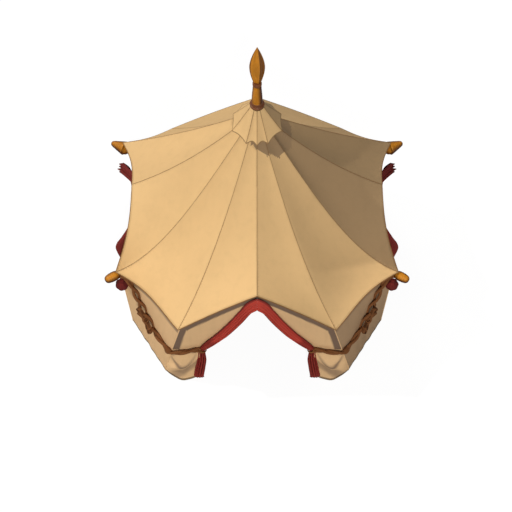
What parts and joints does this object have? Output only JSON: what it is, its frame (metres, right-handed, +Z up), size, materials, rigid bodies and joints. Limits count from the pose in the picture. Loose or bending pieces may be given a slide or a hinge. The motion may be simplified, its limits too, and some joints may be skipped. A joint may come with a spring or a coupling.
{
  "type": "medieval pavilion tent",
  "caption": "Canvas pavilion tent with arched eaves, a seamed roof, red curtains tied back at the doorways and a carved wooden finial.",
  "frame": {"origin": "centre of the pole's foot, on the ground", "axes": "+Z up along the centre pole; the main doorway faces -Y; +X is to the right of someone looking in at that doorway"},
  "size_m": [5.7086, 4.8037, 6.6197],
  "materials": {
    "roof_canvas": "matte",
    "wall_canvas": "matte",
    "red_cloth": "matte",
    "carved_wood": "satin",
    "dark_wood": "satin",
    "frame_wood": "matte",
    "rope": "matte"
  },
  "bodies": {
    "root": {"centre_pole": "frame_wood", "spoke_hub": "frame_wood", "eave_hoop": "frame_wood", "spoke_side_front_left": "carved_wood", "spoke_side_front_right": "carved_wood", "spoke_side_back_left": "carved_wood", "spoke_side_back_right": "carved_wood", "finial_leaf": "carved_wood", "finial_shaft": "carved_wood", "finial_collar": "dark_wood", "finial_ring": "dark_wood", "crown_cap": "roof_canvas", "roof_left_front_to_front_corner": "roof_canvas", "roof_right_front_to_front_corner": "roof_canvas", "roof_left_front_corner_to_side_front": "roof_canvas", "roof_right_front_corner_to_side_front": "roof_canvas", "roof_left_side_front_to_side": "roof_canvas", "roof_right_side_front_to_side": "roof_canvas", "roof_left_side_to_side_back": "roof_canvas", "roof_right_side_to_side_back": "roof_canvas", "roof_left_side_back_to_back_corner": "roof_canvas", "roof_right_side_back_to_back_corner": "roof_canvas", "roof_left_back_corner_to_back": "roof_canvas", "roof_right_back_corner_to_back": "roof_canvas", "back_wall": "wall_canvas", "back_trim": "red_cloth", "corner_wall_front_left": "wall_canvas", "corner_wall_front_right": "wall_canvas", "corner_wall_back_left": "wall_canvas", "corner_wall_back_right": "wall_canvas", "flap_front_left": "wall_canvas", "curtain_front_left": "red_cloth", "tie_front_left": "rope", "flap_front_right": "wall_canvas", "curtain_front_right": "red_cloth", "tie_front_right": "rope", "flap_side_front_left": "wall_canvas", "curtain_side_front_left": "red_cloth", "tie_side_front_left": "rope", "flap_side_front_right": "wall_canvas", "curtain_side_front_right": "red_cloth", "tie_side_front_right": "rope", "flap_side_back_left": "wall_canvas", "curtain_side_back_left": "red_cloth", "tie_side_back_left": "rope", "flap_side_back_right": "wall_canvas", "curtain_side_back_right": "red_cloth", "tie_side_back_right": "rope", "garland_rope_left": "rope", "garland_rope_right": "rope", "rope_bow_left": "rope", "rope_bow_right": "rope"}
  },
  "joints": []
}
